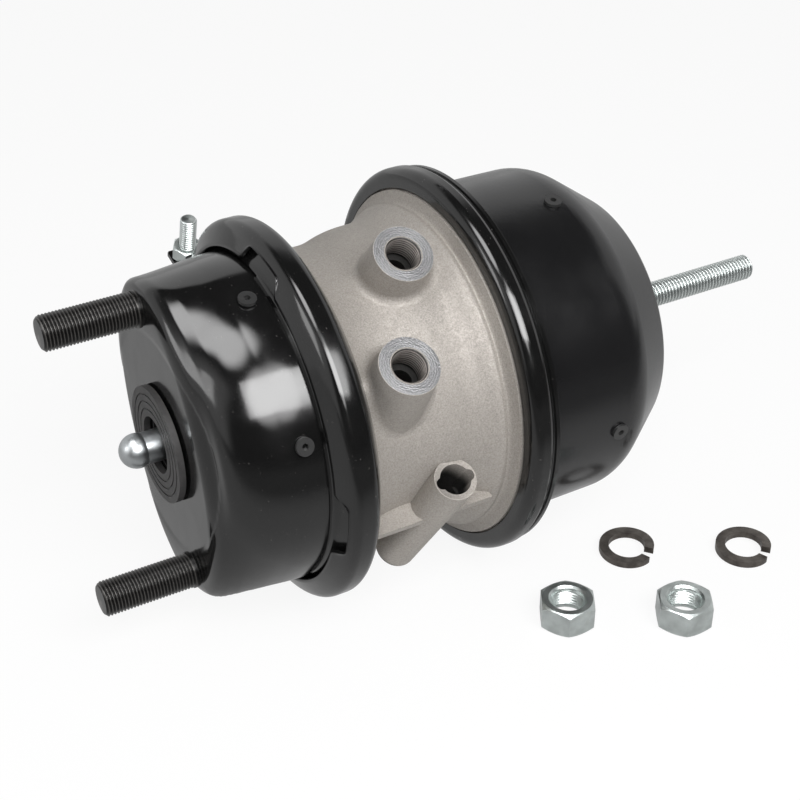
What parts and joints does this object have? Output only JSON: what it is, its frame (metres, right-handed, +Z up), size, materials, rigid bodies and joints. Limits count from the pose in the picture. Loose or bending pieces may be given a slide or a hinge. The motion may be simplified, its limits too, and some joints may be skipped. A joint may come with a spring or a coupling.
{
  "type": "air brake chamber",
  "caption": "Spring brake actuator: black service housing with mounting studs and pushrod, cast aluminium body with air ports, black spring housing and a long caging bolt.",
  "frame": {"origin": "middle of the mounting face, midway between the two studs", "axes": "+X along the chamber's axis towards the caging bolt, +Z up from the floor that the chamber lies on, -Y towards the ports' side"},
  "size_m": [0.3655, 0.242, 0.184],
  "materials": {
    "gloss_black": "gloss black paint over pressed steel",
    "satin_black": "satin black paint over pressed steel",
    "phosphated_steel": "dark phosphated steel",
    "black_rubber": "moulded black rubber",
    "plated_steel": "bright plated steel",
    "bare_steel": "pressed steel",
    "spring_steel": "coated spring steel",
    "cast_aluminium": "sand-textured die casting, machined port faces",
    "bush_plastic": "bearing plastic",
    "zinc_steel": "zinc-plated steel",
    "plug_plastic": "black moulded plugs",
    "dark_steel": "oiled spring steel"
  },
  "bodies": {
    "chamber": {"service_housing": "gloss_black", "clamp_band": "gloss_black", "lock_ring": "gloss_black", "spring_housing": "satin_black", "mounting_stud_upper": "phosphated_steel", "mounting_stud_lower": "phosphated_steel", "seal_ring": "black_rubber", "rod_boot": "black_rubber", "return_spring": "spring_steel", "service_diaphragm": "black_rubber", "clamp_bolt": "zinc_steel", "clamp_nut": "zinc_steel", "flange_casting": "cast_aluminium", "web_bush": "bush_plastic", "rod_seals": "black_rubber", "transfer_spring": "spring_steel", "parking_diaphragm": "black_rubber", "power_spring": "spring_steel", "release_washer": "zinc_steel", "service_vent_plugs": "plug_plastic", "spring_vent_plugs": "plug_plastic"},
    "pushrod": {"pushrod": "plated_steel", "push_plate": "bare_steel"},
    "parking_piston": {"transfer_rod": "plated_steel", "rod_foot": "bare_steel", "foot_screw": "zinc_steel", "rod_plate": "bare_steel", "pressure_plate": "bare_steel", "release_bolt": "zinc_steel"},
    "release_nut": {"release_nut": "zinc_steel"},
    "loose_nut_1": {"mounting_nut_1": "zinc_steel"},
    "loose_nut_2": {"mounting_nut_2": "zinc_steel"},
    "loose_washer_1": {"spring_washer_1": "dark_steel"},
    "loose_washer_2": {"spring_washer_2": "dark_steel"}
  },
  "joints": [
    {"name": "service_stroke", "type": "slide", "parent": "chamber", "child": "pushrod", "axis": [-1, 0, 0], "range_m": [0, 0.057], "stiffness_N_per_m": 2500, "springref_m": -0.04, "deforming": ["return_spring", "rod_boot", "service_diaphragm"]},
    {"name": "parking_release", "type": "slide", "parent": "chamber", "child": "parking_piston", "axis": [-1, 0, 0], "range_m": [0, 0.0035], "deforming": ["transfer_spring", "parking_diaphragm", "power_spring"]},
    {"name": "release_nut_turn", "type": "hinge", "parent": "chamber", "child": "release_nut", "pos_m": [0.236, 0, 0], "axis": [1, 0, 0], "range_deg": [0, 660]},
    {"name": "loose_nut_1_lift", "type": "slide", "parent": "chamber", "child": "loose_nut_1", "axis": [0, 0, 1], "range_m": [0, 0.03]},
    {"name": "loose_nut_2_lift", "type": "slide", "parent": "chamber", "child": "loose_nut_2", "axis": [0, 0, 1], "range_m": [0, 0.03]},
    {"name": "loose_washer_1_lift", "type": "slide", "parent": "chamber", "child": "loose_washer_1", "axis": [0, 0, 1], "range_m": [0, 0.03]},
    {"name": "loose_washer_2_lift", "type": "slide", "parent": "chamber", "child": "loose_washer_2", "axis": [0, 0, 1], "range_m": [0, 0.03]}
  ],
  "couplings": [
    {"joint": "release_nut_turn", "follows": "parking_release", "rad_per_m": 3215.6}
  ]
}
